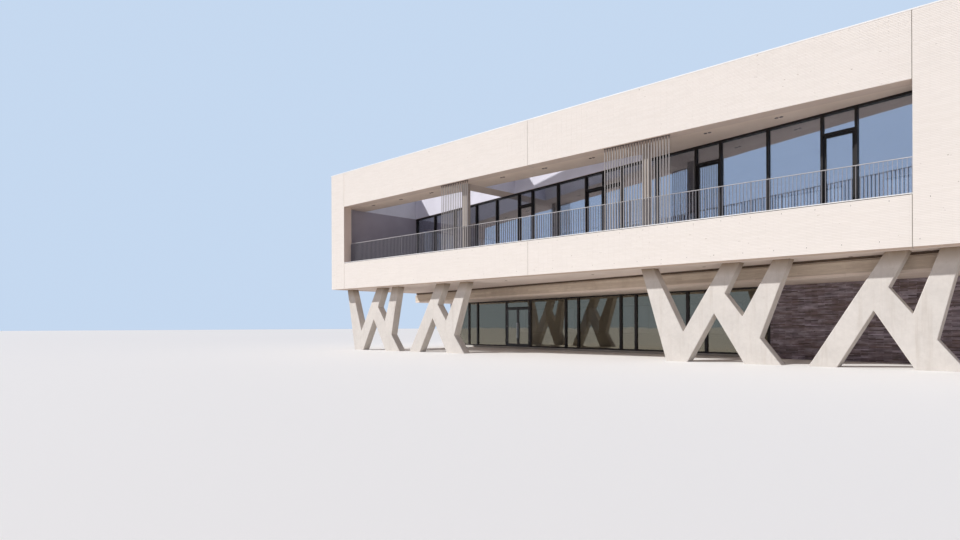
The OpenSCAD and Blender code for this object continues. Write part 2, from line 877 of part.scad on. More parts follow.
// The copings of the outer walls and of all walls and beams round the open part of the loggia
module roof_coping() {
    color(light_metal) placed() {
        difference() {
            prism([
                [-drip, front_y(-drip, -drip)], [building_l + drip, front_y(building_l + drip, -drip)],
                [building_l + drip, building_d + drip], [-drip, building_d + drip]
            ], wall_top_z, roof_top_z);
            prism([
                [inner_left_x + drip, front_y(inner_left_x + drip, front_wall_t + drip)],
                [inner_right_x - drip, front_y(inner_right_x - drip, front_wall_t + drip)],
                [inner_right_x - drip, inner_back_y - drip],
                [inner_left_x + drip, inner_back_y - drip]
            ], wall_top_z - coping_t, roof_top_z + coping_t);
        }
        block([inner_left_x, beam_right_x], [glazing_y - drip, roof_line_y + drip],
            [wall_top_z, roof_top_z]);
        in_front_strip([strip_d - strip_wall_t - drip, strip_d + drip])
            for (x = open_spans)
                block(x, [0, building_d], [wall_top_z, roof_top_z]);
        for (x1 = [beam_left_x, beam_right_x])
            prism([
                [x1 - cross_beam_w - drip, front_y(x1 - cross_beam_w - drip, front_wall_t)],
                [x1 + drip, front_y(x1 + drip, front_wall_t)],
                [x1 + drip, glazing_y], [x1 - cross_beam_w - drip, glazing_y]
            ], wall_top_z, roof_top_z);
    }
}

railing_b = [front_wall_t - rail_w, front_wall_t];
// The railing's foot rail rests on thin packers
railing_seat = 0.3;
railing_z = [opening_bottom_z + railing_seat, opening_bottom_z + railing_h];
panel_w = (opening_right_s - opening_left_s - (railing_n + 1) * railing_gap) / railing_n;

// One panel: a foot rail, a hand rail and upright bars between them
module railing_panel() {
    bar_n = floor((panel_w - railing_bar) / railing_pitch);
    bar_step = (panel_w - railing_bar) / bar_n;
    block([0, panel_w], railing_b, [railing_z[0], railing_z[0] + rail_t]);
    block([0, panel_w], railing_b, [railing_z[1] - rail_t, railing_z[1]]);
    for (i = [0:bar_n])
        block([i * bar_step, i * bar_step + railing_bar],
            [railing_b[0] + (rail_w - railing_bar) / 2, railing_b[0] + (rail_w + railing_bar) / 2],
            [railing_z[0] + rail_t, railing_z[1] - rail_t]);
}

module railing() {
    color(light_metal) placed() along_front()
        for (i = [0:railing_n - 1])
            translate([opening_left_s + railing_gap + i * (panel_w + railing_gap), 0, 0])
                railing_panel();
}

// A row of upright rods, let into a plate on the sill and a plate under the upper band
module rod_screen(s0, n) {
    s = [s0 - rod_d, s0 + (n - 1) * rod_pitch + rod_d];
    b = [rod_b - rod_d, rod_b + rod_d];
    rod_z = [opening_bottom_z + rod_plate_t / 2, opening_top_z - rod_plate_t / 2];
    front_block(s, b, [opening_bottom_z, opening_bottom_z + rod_plate_t]);
    front_block(s, b, [opening_top_z - rod_plate_t, opening_top_z]);
    along_front()
        for (i = [0:n - 1])
            translate([s0 + i * rod_pitch, rod_b, rod_z[0]])
                cylinder(h = rod_z[1] - rod_z[0], d = rod_d, $fn = round_n);
}

module rod_screens() {
    color(light_metal) placed() {
        rod_screen(column_s(beam_left_x) - rod_left_lead, rod_left_n);
        rod_screen(column_s(beam_right_x) - rod_right_lead, rod_right_n);
    }
}

ground_slab();
ground_end_wall_left();
ground_end_wall_right();
ground_back_wall();
ground_back_frames();
ground_back_glass();
ground_brick_wall();
ground_frames();
ground_glass();
door_frame();
door_leaf_left();
door_leaf_right();
door_glass_left();
door_glass_right();
concrete_band();
ground_ceiling();
support_1();
support_2();
support_3();
support_4();
soffit_slab();
floor_beams();
upper_floor();
front_pier();
upper_band_left();
upper_band_right();
lower_band_left();
lower_band_right();
band_sill();
front_wall_right();
movement_joints();
end_wall_left();
end_wall_right();
back_wall();
upper_window_frames();
upper_window_glass();
window_sills();
upper_glazing_frames();
upper_glazing_glass();
wall_over_glazing();
cross_beams();
slim_columns();
loggia_ceiling_strips();
loggia_roof();
upper_ceiling();
roof_slab();
roof_coping();
railing();
rod_screens();
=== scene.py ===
"""A school building with a skewed front wall of white brick on zig-zag concrete supports.
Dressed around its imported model, in metres and in the model's own frame."""
import math
import random

import bmesh
import bpy
from mathutils import Matrix, Quaternion, Vector


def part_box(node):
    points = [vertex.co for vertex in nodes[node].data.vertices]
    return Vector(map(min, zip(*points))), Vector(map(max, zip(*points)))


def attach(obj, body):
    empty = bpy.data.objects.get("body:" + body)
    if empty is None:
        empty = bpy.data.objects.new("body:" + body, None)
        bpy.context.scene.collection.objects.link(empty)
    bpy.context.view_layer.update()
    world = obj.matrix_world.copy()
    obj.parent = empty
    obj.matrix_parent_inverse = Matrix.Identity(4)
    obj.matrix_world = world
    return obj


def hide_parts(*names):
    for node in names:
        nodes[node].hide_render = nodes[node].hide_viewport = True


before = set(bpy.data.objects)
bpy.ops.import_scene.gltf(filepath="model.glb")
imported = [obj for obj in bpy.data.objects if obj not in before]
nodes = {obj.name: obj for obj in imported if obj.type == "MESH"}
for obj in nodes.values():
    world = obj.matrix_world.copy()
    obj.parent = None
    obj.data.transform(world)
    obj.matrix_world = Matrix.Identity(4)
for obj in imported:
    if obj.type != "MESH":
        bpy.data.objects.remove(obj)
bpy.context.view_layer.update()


# The camera stands before the front, low over the ground and right of the middle, and looks to the
# left along it. It is level, so that uprights stay upright, and a small shift up brings the roof
# edge into the picture, which is 960 pixels wide.
picture_w = 960
focal_px = 554.9
horizon_drop_px = 56.8
camera_turn = math.radians(49.045)
camera_roll = math.radians(-0.195)
eye_place = (15.637, -24.126, 1.42)
sight_range = 1000

camera_data = bpy.data.cameras.new("front_camera")
camera_data.lens = focal_px * camera_data.sensor_width / picture_w
camera_data.shift_y = horizon_drop_px / picture_w
camera_data.clip_end = sight_range
camera = bpy.data.objects.new("front_camera", camera_data)
bpy.context.scene.collection.objects.link(camera)
camera.location = eye_place
camera.rotation_mode = "QUATERNION"
look = Vector((-math.sin(camera_turn), math.cos(camera_turn), 0))
camera.rotation_quaternion = look.to_track_quat("-Z", "Y") @ Quaternion((0, 0, 1), camera_roll)
bpy.context.scene.camera = camera
bpy.context.scene.view_settings.view_transform = "Standard"


# The studio: a wide level floor, an even surround and one lamp from the left in front, as high and
# as far round as the shadows on the real building tell. Things are lit by a faintly blue surround
# and a pale floor, while the picture and every mirror show a light blue backdrop.
floor_half = 400
floor_drop = 0.002
floor_rough = 0.9
floor_seen = (0.93, 0.92, 0.90, 1)
floor_bounce = (0.77, 0.715, 0.655, 1)
backdrop_seen = (0.56, 0.69, 0.87, 1)
surround_light = (0.84, 0.84, 1.06, 1)
surround_strength = 0.24
lamp_strength = 3.35
lamp_colour = (1, 0.985, 0.965)
lamp_spread = math.radians(1.5)
lamp_height = math.radians(36)
lamp_turn = math.radians(236)


def add_node(tree, kind, inputs=None, **settings):
    """A new node in a material's tree; an input is a value or another node's output"""
    made = tree.nodes.new(kind)
    for key, value in settings.items():
        setattr(made, key, value)
    for key, value in (inputs or {}).items():
        if isinstance(value, bpy.types.NodeSocket):
            tree.links.new(value, made.inputs[key])
        else:
            made.inputs[key].default_value = value
    return made


def math_node(tree, operation, *values):
    """The result of a sum on numbers or on other nodes' outputs"""
    return add_node(tree, "ShaderNodeMath", dict(enumerate(values)), operation=operation).outputs[0]


def blend_colours(tree, share, first, second, blend_type="MIX"):
    """One colour that goes from first to second with the share"""
    made = add_node(tree, "ShaderNodeMix", {0: share, 6: first, 7: second},
                    data_type="RGBA", blend_type=blend_type)
    return made.outputs[2]


def seen_directly(tree):
    """1 for what the picture, a reflection or a view through glass shows, 0 for light on things"""
    path = add_node(tree, "ShaderNodeLightPath")
    mirrored = math_node(tree, "MAXIMUM", path.outputs["Is Glossy Ray"],
                         path.outputs["Is Transmission Ray"])
    return math_node(tree, "MAXIMUM", path.outputs["Is Camera Ray"], mirrored)


def new_finish(name, roughness, metallic=0.0):
    """A material with a shader to fill in: the material, its tree and the shader"""
    material = bpy.data.materials.new(name)
    material.use_nodes = True
    tree = material.node_tree
    shader = tree.nodes["Principled BSDF"]
    shader.inputs["Roughness"].default_value = roughness
    shader.inputs["Metallic"].default_value = metallic
    return material, tree, shader


def object_from(bm, name, material=None):
    """Closes a bmesh into an object at the origin"""
    mesh = bpy.data.meshes.new(name)
    bm.to_mesh(mesh)
    bm.free()
    made = bpy.data.objects.new(name, mesh)
    bpy.context.scene.collection.objects.link(made)
    if material:
        mesh.materials.append(material)
    return made


studio_material, tree, shader = new_finish("studio_floor", floor_rough)
tree.links.new(blend_colours(tree, seen_directly(tree), floor_bounce, floor_seen),
               shader.inputs["Base Color"])
bm = bmesh.new()
bmesh.ops.create_grid(bm, x_segments=1, y_segments=1, size=floor_half)
bmesh.ops.translate(bm, vec=(0, 0, -floor_drop), verts=bm.verts)
object_from(bm, "studio_floor", studio_material)

world = bpy.data.worlds.new("studio")
bpy.context.scene.world = world
world.use_nodes = True
background = world.node_tree.nodes["Background"]
seen = seen_directly(world.node_tree)
world.node_tree.links.new(blend_colours(world.node_tree, seen, surround_light, backdrop_seen),
                          background.inputs["Color"])
strength = math_node(world.node_tree, "MAXIMUM", seen, surround_strength)
world.node_tree.links.new(strength, background.inputs["Strength"])

lamp_data = bpy.data.lights.new("soft_lamp", "SUN")
lamp_data.energy = lamp_strength
lamp_data.angle = lamp_spread
lamp_data.color = lamp_colour
lamp = bpy.data.objects.new("soft_lamp", lamp_data)
bpy.context.scene.collection.objects.link(lamp)
to_lamp = Vector((math.cos(lamp_height) * math.cos(lamp_turn),
                  math.cos(lamp_height) * math.sin(lamp_turn), math.sin(lamp_height)))
lamp.rotation_euler = (-to_lamp).to_track_quat("-Z", "Y").to_euler()


# The white walls: long slim bricks, half a metre by four centimetres, laid in running bond with
# flush pale mortar, each with its own slight tone. On every outer face they are solid slips, a few
# millimetres proud. Reveals carry the same bond except the pier's right-hand jamb, which, like the
# backs of the front wall, carries painted shade, warm in tone. Undersides and inner faces are painted.
brick_l = 0.49
brick_h = 0.04
brick_joint = 0.01
brick_proud = 0.006
brick_let_in = 0.002
cell_l = brick_l + brick_joint
cell_h = brick_h + brick_joint
cube_faces = 6
cut_tolerance = 1e-6
mostly = 0.5
front_skew = math.radians(9.7)
front_wall_t = 0.56
soffit_z, wall_top_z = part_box("front_pier")[0].z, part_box("front_pier")[1].z
wall_left_x, wall_right_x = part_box("back_wall")[0].x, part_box("back_wall")[1].x
wall_front_y, wall_back_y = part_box("front_pier")[0].y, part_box("back_wall")[1].y
white_pale = (0.920, 0.872, 0.826, 1)
white_deep = (0.890, 0.840, 0.790, 1)
white_mortar = (0.845, 0.794, 0.743, 1)
white_fleck = (0.52, 0.46, 0.41, 1)


def object_place(tree):
    return add_node(tree, "ShaderNodeTexCoord").outputs["Object"]


def place_parts(tree):
    """The three parts of a point's place"""
    return add_node(tree, "ShaderNodeSeparateXYZ", {0: object_place(tree)}).outputs


def noise(tree, scale, detail=3.0, rough=0.55, stretch=None):
    """A cloudy pattern from 0 to 1, with scale in spots to the metre"""
    place = object_place(tree)
    if stretch:
        place = add_node(tree, "ShaderNodeMapping", {0: place, 3: stretch}).outputs[0]
    made = add_node(tree, "ShaderNodeTexNoise",
                    {"Vector": place, "Scale": scale, "Detail": detail, "Roughness": rough})
    return made.outputs[0]


def narrowed(tree, value, low, high, out_low=0.0, out_high=1.0):
    """Spreads the stretch from low to high over the whole range, clamped"""
    return add_node(tree, "ShaderNodeMapRange",
                    {0: value, 1: low, 2: high, 3: out_low, 4: out_high}).outputs[0]


def bump(tree, shader, height, depth):
    made = add_node(tree, "ShaderNodeBump", {"Height": height, "Distance": depth, "Strength": 1.0})
    tree.links.new(made.outputs[0], shader.inputs["Normal"])


def facing(tree):
    """The three parts of a face's direction"""
    normal = add_node(tree, "ShaderNodeTexCoord").outputs["Normal"]
    return add_node(tree, "ShaderNodeSeparateXYZ", {0: normal}).outputs


def is_level(tree):
    """1 on faces that look up or down, 0 on upright ones"""
    return math_node(tree, "GREATER_THAN", math_node(tree, "ABSOLUTE", facing(tree)[2]), mostly)


def bond(tree, start_z, pale, deep, mortar):
    """Running bond on an upright face that looks any way: its colour and its mortar lines"""
    place = place_parts(tree)
    way = facing(tree)
    along = math_node(tree, "SUBTRACT", math_node(tree, "MULTIPLY", place[1], way[0]),
                      math_node(tree, "MULTIPLY", place[0], way[1]))
    up = math_node(tree, "SUBTRACT", place[2], start_z)
    flat = add_node(tree, "ShaderNodeCombineXYZ", {0: along, 1: up}).outputs[0]
    made = add_node(tree, "ShaderNodeTexBrick", {
        "Vector": flat, "Scale": 1.0, "Brick Width": cell_l, "Row Height": cell_h,
        "Mortar Size": brick_joint / 2, "Mortar Smooth": 0.1, "Bias": 0.0,
        "Color1": pale, "Color2": deep, "Mortar": mortar}, offset=0.5)
    return made.outputs[0], made.outputs[1]


def wall_backing(name, start_z, pale, deep, mortar, level_face, plaster=None, rear_face=None, jamb=None):
    """A wall under its slips: bond on upright faces, plain on level ones; plaster is an axis, a
    place along it and a side of that place, past which the wall is plastered inside; rear_face is
    the colour on faces that look to the back and jamb that on faces that look to the right, both painted
    warm shade"""
    material, tree, shader = new_finish(name, roughness=0.88)
    colour, relief = bond(tree, start_z, pale, deep, mortar)
    coats = [(is_level(tree), level_face)]
    if plaster:
        axis, limit, side = plaster
        past = "GREATER_THAN" if side > 0 else "LESS_THAN"
        coats.append((math_node(tree, past, place_parts(tree)[axis], limit), plaster_white))
    # Faces that look to the back, and with jamb those that look to the right, get painted warm shade.
    if rear_face:
        coats.append((math_node(tree, "GREATER_THAN", facing(tree)[1], mostly), rear_face))
    if jamb:
        coats.append((math_node(tree, "GREATER_THAN", facing(tree)[0], mostly), jamb))
    for share, coat in coats:
        colour = blend_colours(tree, share, colour, coat)
        relief = math_node(tree, "MULTIPLY", relief, math_node(tree, "SUBTRACT", 1.0, share))
    clouds = narrowed(tree, noise(tree, 0.8, 6), 0.35, 0.65, 0.93, 1.0)
    tree.links.new(blend_colours(tree, 1.0, colour, clouds, "MULTIPLY"), shader.inputs["Base Color"])
    bump(tree, shader, math_node(tree, "SUBTRACT", noise(tree, 60), relief), 0.003)
    return material


def slip_finish(name, pale, deep, fleck, fleck_share, clouding, burnt=None):
    """Fired brick: each brick's own tone, fine clouds along it and a few dark flecks. Where fired
    harder, in drifts some metres long, all bricks tend to a burnt colour"""
    along_courses = (1, 1, 3.5)
    material, tree, shader = new_finish(name, roughness=0.85)
    tone = add_node(tree, "ShaderNodeAttribute", attribute_name="tone").outputs["Fac"]
    colour = blend_colours(tree, tone, pale, deep)
    if burnt:
        drifts = narrowed(tree, noise(tree, 0.9, 6, 0.65, along_courses), 0.42, 0.62, 0, 0.75)
        colour = blend_colours(tree, drifts, colour, burnt)
    streaks = narrowed(tree, noise(tree, 2.2, 5, 0.6, along_courses), 0.38, 0.62, 1 - clouding, 1)
    colour = blend_colours(tree, 1.0, colour, streaks, "MULTIPLY")
    spots = narrowed(tree, noise(tree, 7.0, 2, 0.5, (1, 1, 2.5)), fleck_share, fleck_share + 0.02)
    tree.links.new(blend_colours(tree, spots, colour, fleck), shader.inputs["Base Color"])
    bump(tree, shader, noise(tree, 45, 4, 0.6), 0.002)
    return material


def trim(bm, point, away):
    """Cuts off what lies past the point on the side that away looks to, and closes the cuts"""
    cut = bmesh.ops.bisect_plane(bm, geom=bm.verts[:] + bm.edges[:] + bm.faces[:], dist=cut_tolerance,
                                 plane_co=point, plane_no=away, clear_outer=True)
    rims = [e for e in cut["geom_cut"] if isinstance(e, bmesh.types.BMEdge)]
    tone = bm.faces.layers.float.get("tone")
    for face in bmesh.ops.holes_fill(bm, edges=rims, sides=0)["faces"]:
        beside = [f for e in face.edges for f in e.link_faces if f is not face]
        if tone and beside:
            face[tone] = beside[0][tone]


def slip_field(bm, x, z, start_z, size, joint, proud, draw):
    """Adds slips over a rectangle of wall, all on one bond that starts at start_z. They stand out
    towards -Y from the plane y = 0"""
    pitch_x = size[0] + joint
    pitch_z = size[1] + joint
    first_x = math.floor(x[0] / pitch_x) - 1
    first_z = 2 * math.floor((z[0] - start_z) / pitch_z / 2)
    pair = bmesh.new()
    for row in range(2):
        made = bmesh.ops.create_cube(pair, size=1)["verts"]
        bmesh.ops.scale(pair, vec=(size[0], proud + brick_let_in, size[1]), verts=made)
        middle = ((first_x + 0.5 + row / 2) * pitch_x, (brick_let_in - proud) / 2,
                  start_z + (first_z + row + 0.5) * pitch_z)
        bmesh.ops.translate(pair, vec=middle, verts=made)
    source = object_from(pair, "slip_pair")
    counts = (math.ceil(x[1] / pitch_x) - first_x + 1, 1,
              math.ceil(((z[1] - start_z) / pitch_z - first_z) / 2))
    for axis, step in ((0, pitch_x), (2, 2 * pitch_z)):
        array = source.modifiers.new("rows", "ARRAY")
        array.use_relative_offset = False
        array.use_constant_offset = True
        array.constant_offset_displace = [step if i == axis else 0 for i in range(3)]
        array.count = counts[axis]
    spread = source.evaluated_get(bpy.context.evaluated_depsgraph_get())
    mesh = bpy.data.meshes.new_from_object(spread)
    slip_count = len(mesh.polygons) // cube_faces
    tones = [tone for _ in range(slip_count) for tone in [draw.random()] * cube_faces]
    mesh.attributes.new("tone", "FLOAT", "FACE").data.foreach_set("value", tones)
    field = bmesh.new()
    field.from_mesh(mesh)
    for point, away in (((x[0], 0, 0), (-1, 0, 0)), ((x[1], 0, 0), (1, 0, 0)),
                        ((0, 0, z[0]), (0, 0, -1)), ((0, 0, z[1]), (0, 0, 1))):
        trim(field, point, away)
    field.to_mesh(mesh)
    field.free()
    bm.from_mesh(mesh)
    bpy.data.objects.remove(source)
    bpy.data.meshes.remove(mesh)


def around_windows(x, z, windows, window_z):
    """The rectangles of a wall that are left around a row of windows"""
    parts = [(x, (z[0], window_z[0])), (x, (window_z[1], z[1]))]
    edges = [x[0]] + [e for w in windows for e in w] + [x[1]]
    return parts + [((edges[i], edges[i + 1]), window_z) for i in range(0, len(edges), 2)]


def slip_wall(name, parts, start_z, place, material, seed, trims=(), size=(brick_l, brick_h),
              joint=brick_joint, proud=brick_proud):
    """One wall's slips as one piece, laid flat and then set in place against the wall"""
    draw = random.Random(seed)
    bm = bmesh.new()
    bm.faces.layers.float.new("tone")
    for x, z in parts:
        slip_field(bm, x, z, start_z, size, joint, proud, draw)
    bmesh.ops.transform(bm, matrix=place, verts=bm.verts)
    for point, away in trims:
        trim(bm, point, away)
    piece = object_from(bm, name, material)
    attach(piece, "root")
    return piece


def wall_face(corner_x, corner_y, turn):
    """Where a wall's face stands: its left corner, seen from outside, and its turn"""
    return Matrix.Translation((corner_x, corner_y, 0)) @ Matrix.Rotation(turn, 4, "Z")


def dress(material, *names):
    """Gives CAD nodes their finish"""
    for name in names:
        for slot in nodes[name].material_slots:
            slot.material = material


def front_span(name):
    """From where to where a node reaches along the front face, from the left corner"""
    low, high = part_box(name)
    start = (low.x - wall_left_x + front_wall_t * math.sin(front_skew)) / math.cos(front_skew)
    return start, (high.x - wall_left_x) / math.cos(front_skew)


def spans(name, axis, within=None):
    """The stretches that a node's separate solids take up along an axis"""
    kept = [v.co for v in nodes[name].data.vertices if within is None or within(v.co)]
    marks = sorted({round(co[axis], 4) for co in kept})
    return list(zip(marks[::2], marks[1::2]))


plaster_white = (0.79, 0.79, 0.85, 1)
underside_plaster = (0.70, 0.57, 0.49, 1)
rear_shade_cream = (0.70, 0.66, 0.54, 1)
loggia_white_sky_tint = (0.80, 0.79, 0.88, 1)
loggia_shade = (0.77, 0.76, 0.855, 1)
inner_skin = 0.01
back_inner_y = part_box("back_wall")[0].y
right_inner_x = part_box("end_wall_right")[0].x
left_inner_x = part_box("end_wall_left")[1].x
white_parts = (soffit_z, white_pale, white_deep, white_mortar, underside_plaster)
jamb_shade_tint = (0.83, 0.68, 0.58, 1)
# The pier's right-hand jamb and the backs of the front wall carry painted shade, warm in tone.
dress(wall_backing("white_pier", *white_parts, rear_face=rear_shade_cream, jamb=jamb_shade_tint), "front_pier")
dress(wall_backing("white_wall", *white_parts, rear_face=rear_shade_cream), "upper_band_left",
      "upper_band_right", "lower_band_left", "lower_band_right", "front_wall_right")
# The wall over the glazing and the cross beams are cool white plaster, with a lilac tint that is painted
# sky light.
dress(wall_backing("loggia_wall", soffit_z, loggia_white_sky_tint, loggia_white_sky_tint, loggia_shade, underside_plaster),
      "wall_over_glazing", "cross_beams")
dress(wall_backing("white_back_wall", *white_parts, (1, back_inner_y + inner_skin, -1)), "back_wall")
dress(wall_backing("white_end_right", *white_parts, (0, right_inner_x + inner_skin, -1)), "end_wall_right")
dress(wall_backing("white_end_left", *white_parts, (0, left_inner_x - inner_skin, 1)), "end_wall_left")

white_slips = slip_finish("white_brick_slips", white_pale, white_deep, white_fleck,
                          fleck_share=0.745, clouding=0.015)
corner_past = 0.5
front_nodes = ("front_pier", "upper_band_left", "upper_band_right", "lower_band_left",
               "lower_band_right", "front_wall_right")
front_parts = [(front_span(name), (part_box(name)[0].z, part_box(name)[1].z)) for name in front_nodes]
front_parts[0] = ((-corner_past, front_parts[0][0][1]), front_parts[0][1])
front_parts[-1] = ((front_parts[-1][0][0], front_parts[-1][0][1] + corner_past), front_parts[-1][1])
left_face = ((wall_left_x - brick_proud, 0, 0), (-1, 0, 0))
right_face = ((wall_right_x + brick_proud, 0, 0), (1, 0, 0))
on_front = wall_face(wall_left_x, wall_front_y, front_skew)
on_back = wall_face(wall_right_x, wall_back_y, math.pi)
on_left = wall_face(wall_left_x, wall_back_y, -math.pi / 2)
on_right = wall_face(wall_right_x, wall_front_y, math.pi / 2)
wall_z = (soffit_z, wall_top_z)
wall_l = wall_right_x - wall_left_x
wall_d = wall_back_y - wall_front_y
window_z = [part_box("upper_window_glass")[i].z for i in range(2)]
back_windows = [(wall_right_x - b, wall_right_x - a) for a, b in spans("ground_back_glass", 0)][::-1]
end_windows = spans("upper_window_glass", 1, lambda co: co.x < left_inner_x)
end_windows = [(wall_back_y - b, wall_back_y - a) for a, b in end_windows][::-1]
slip_wall("front_wall_bricks", front_parts, soffit_z, on_front, white_slips, seed=11,
          trims=[left_face, right_face])
back_parts = around_windows((-brick_proud, wall_l + brick_proud), wall_z, back_windows, window_z)
slip_wall("back_wall_bricks", back_parts, soffit_z, on_back, white_slips, seed=12)
left_parts = around_windows((0, wall_d), wall_z, end_windows, window_z)
slip_wall("left_end_bricks", left_parts, soffit_z, on_left, white_slips, seed=13)
right_from = wall_l * math.tan(front_skew)
slip_wall("right_end_bricks", [((right_from, wall_d), wall_z)], soffit_z, on_right, white_slips,
          seed=14)


# Two small things in the front wall. In two of its courses every second upright joint is left open
# behind a brown plastic weep vent, and under the sill a thin dark strip is painted shadow under its drip.
vent_brown = (0.095, 0.070, 0.055, 1)
vent_deep = (0.070, 0.052, 0.042, 1)
vent_courses = ((4, cell_l), (29, 1.5 * cell_l))
vent_depth = 0.005
sill_shadow_dark = (0.10, 0.088, 0.08, 1)
sill_shadow_h = 0.018
sill_shadow_proud = 0.0065
let_in = 0.001


def front_box(bm, s, b, z):
    """Adds a box that lies along the front wall, b metres behind its face"""
    made = bmesh.ops.create_cube(bm, size=1)["verts"]
    bmesh.ops.scale(bm, vec=(s[1] - s[0], b[1] - b[0], z[1] - z[0]), verts=made)
    bmesh.ops.translate(bm, vec=((s[0] + s[1]) / 2, (b[0] + b[1]) / 2, (z[0] + z[1]) / 2), verts=made)
    bmesh.ops.transform(bm, matrix=on_front, verts=made)


def plain_matt(name, pale, deep):
    """A dull moulded or filled surface, a little uneven"""
    material, tree, shader = new_finish(name, roughness=0.8)
    tree.links.new(blend_colours(tree, noise(tree, 8), pale, deep), shader.inputs["Base Color"])
    bump(tree, shader, noise(tree, 60), 0.001)
    return material


bm = bmesh.new()
front_end_s = front_span("front_wall_right")[1]
for course, first_s in vent_courses:
    vent_z = soffit_z + course * cell_h + brick_joint / 2
    for i in range(math.floor((front_end_s - first_s) / cell_l / 2)):
        s = first_s + 2 * i * cell_l
        front_box(bm, (s - brick_joint / 2, s + brick_joint / 2), (-vent_depth, let_in),
                  (vent_z, vent_z + brick_h))
vents = object_from(bm, "weep_vents", plain_matt("vent_plastic", vent_brown, vent_deep))
# A thin dark strip under the sill: painted shadow under its drip.
sill_bottom_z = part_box("band_sill")[0].z
bm = bmesh.new()
for name in ("lower_band_left", "lower_band_right"):
    front_box(bm, front_span(name), (-sill_shadow_proud, let_in),
              (sill_bottom_z - sill_shadow_h, sill_bottom_z))
sill_shadow_strip = object_from(bm, "sill_shadow_strip", plain_matt("sill_joint_shade", sill_shadow_dark, vent_brown))
for piece in (vents, sill_shadow_strip):
    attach(piece, "root")


# The dark ground floor walls: the same long bricks, fired brown-grey to purple-black, with clear
# differences from brick to brick that read as streaks along the courses. Mortar is dark too.
dark_pale = (0.760, 0.680, 0.800, 1)
dark_deep = (0.200, 0.160, 0.180, 1)
dark_mortar = (0.250, 0.215, 0.245, 1)
dark_burnt = (0.260, 0.185, 0.165, 1)
dark_fleck = (0.10, 0.08, 0.09, 1)
ground_foot_z = 0.0
dark_parts = (ground_foot_z, dark_pale, dark_deep, dark_mortar, dark_mortar)
ground_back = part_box("ground_back_wall")
ground_left_x, ground_inner_y = ground_back[0].x, ground_back[0].y
ground_right_inner_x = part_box("ground_end_wall_right")[0].x
ground_left_inner_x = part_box("ground_end_wall_left")[1].x
brick_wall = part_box("ground_brick_wall")
dress(wall_backing("dark_back_wall", *dark_parts, (1, ground_inner_y + inner_skin, -1)), "ground_back_wall")
dress(wall_backing("dark_front_wall", *dark_parts, (1, brick_wall[1].y - inner_skin, 1)),
      "ground_brick_wall")
dress(wall_backing("dark_end_left", *dark_parts, (0, ground_left_inner_x - inner_skin, 1)),
      "ground_end_wall_left")
dress(wall_backing("dark_end_right", *dark_parts, (0, ground_right_inner_x + inner_skin, -1)),
      "ground_end_wall_right")

dark_slips = slip_finish("dark_brick_slips", dark_deep, dark_pale, dark_fleck, fleck_share=0.70,
                         clouding=0.5, burnt=dark_burnt)
ground_z = (ground_foot_z, brick_wall[1].z)
ground_window_z = [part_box("ground_back_glass")[i].z for i in range(2)]
ground_d = wall_back_y - brick_wall[0].y
on_ground_front = Matrix.Translation((0, brick_wall[0].y, 0))
on_ground_left = Matrix.Translation((ground_left_x - wall_left_x, 0, 0)) @ on_left
slip_wall("ground_front_bricks", [((brick_wall[0].x, wall_right_x + brick_proud), ground_z)],
          ground_foot_z, on_ground_front, dark_slips, seed=21)
ground_back_parts = around_windows((-brick_proud, wall_right_x - ground_left_x + brick_proud),
                                   ground_z, back_windows, ground_window_z)
slip_wall("ground_back_bricks", ground_back_parts, ground_foot_z, on_back, dark_slips,
          seed=22)
slip_wall("ground_left_bricks", [((0, ground_d), ground_z)], ground_foot_z, on_ground_left,
          dark_slips, seed=23)
slip_wall("ground_right_bricks", [((wall_d - ground_d, wall_d), ground_z)], ground_foot_z, on_right,
          dark_slips, seed=24)


# The zig-zag supports: smooth pale concrete, cast in place in lined forms with a small chamfer on
# every free edge, and darker brown at the head, which is painted shade under the soffit with some
# stain. Feet and heads run square into the ground and into the soffit. The slim columns in the loggia
# are painted darker all over, as the shade they stand in.
chamfer = 0.02
seat_height = 0.001
merge_gap = 0.0001
flat_angle = math.radians(0.5)
cast_pale = (0.755, 0.720, 0.680, 1)
cast_deep = (0.640, 0.610, 0.575, 1)
cast_stain = (0.500, 0.445, 0.385, 1)
head_shade_brown = (0.27, 0.205, 0.145, 1)
head_shade_h = 0.50
column_shade_pale = (0.50, 0.445, 0.40, 1)
column_shade_deep = (0.42, 0.37, 0.33, 1)


def cast_concrete(name, pale, deep, stain, head=None):
    """Cast concrete: broad clouds, a finer mottle, rain streaks down it, darker patches and pores.
    Head is a darker brown that comes in between two heights: painted shade under the soffit, with some
    stain"""
    down_the_face = (1, 1, 0.07)
    material, tree, shader = new_finish(name, roughness=0.78)
    clouds = narrowed(tree, noise(tree, 1.1, 5, 0.6), 0.35, 0.65, 0, 0.55)
    mottle = narrowed(tree, noise(tree, 6.5, 6, 0.7), 0.35, 0.65, 0, 0.45)
    colour = blend_colours(tree, math_node(tree, "ADD", clouds, mottle), pale, deep)
    # The head colour is painted shade under the soffit, with some stain in it.
    if head:
        tint, from_z, to_z = head
        share = narrowed(tree, place_parts(tree)[2], from_z, to_z)
        colour = blend_colours(tree, share, colour, tint)
    streaks = narrowed(tree, noise(tree, 5.0, 4, 0.6, down_the_face), 0.52, 0.72, 0, 0.35)
    colour = blend_colours(tree, streaks, colour, stain)
    patches = narrowed(tree, noise(tree, 3.6, 6, 0.7), 0.62, 0.76, 0, 0.5)
    colour = blend_colours(tree, patches, colour, stain)
    pores = narrowed(tree, noise(tree, 38, 2, 0.5), 0.70, 0.74)
    colour = blend_colours(tree, math_node(tree, "MULTIPLY", pores, 0.5), colour, stain)
    tree.links.new(colour, shader.inputs["Base Color"])
    relief = math_node(tree, "SUBTRACT", noise(tree, 9, 5), math_node(tree, "MULTIPLY", pores, 0.6))
    bump(tree, shader, relief, 0.004)
    return material


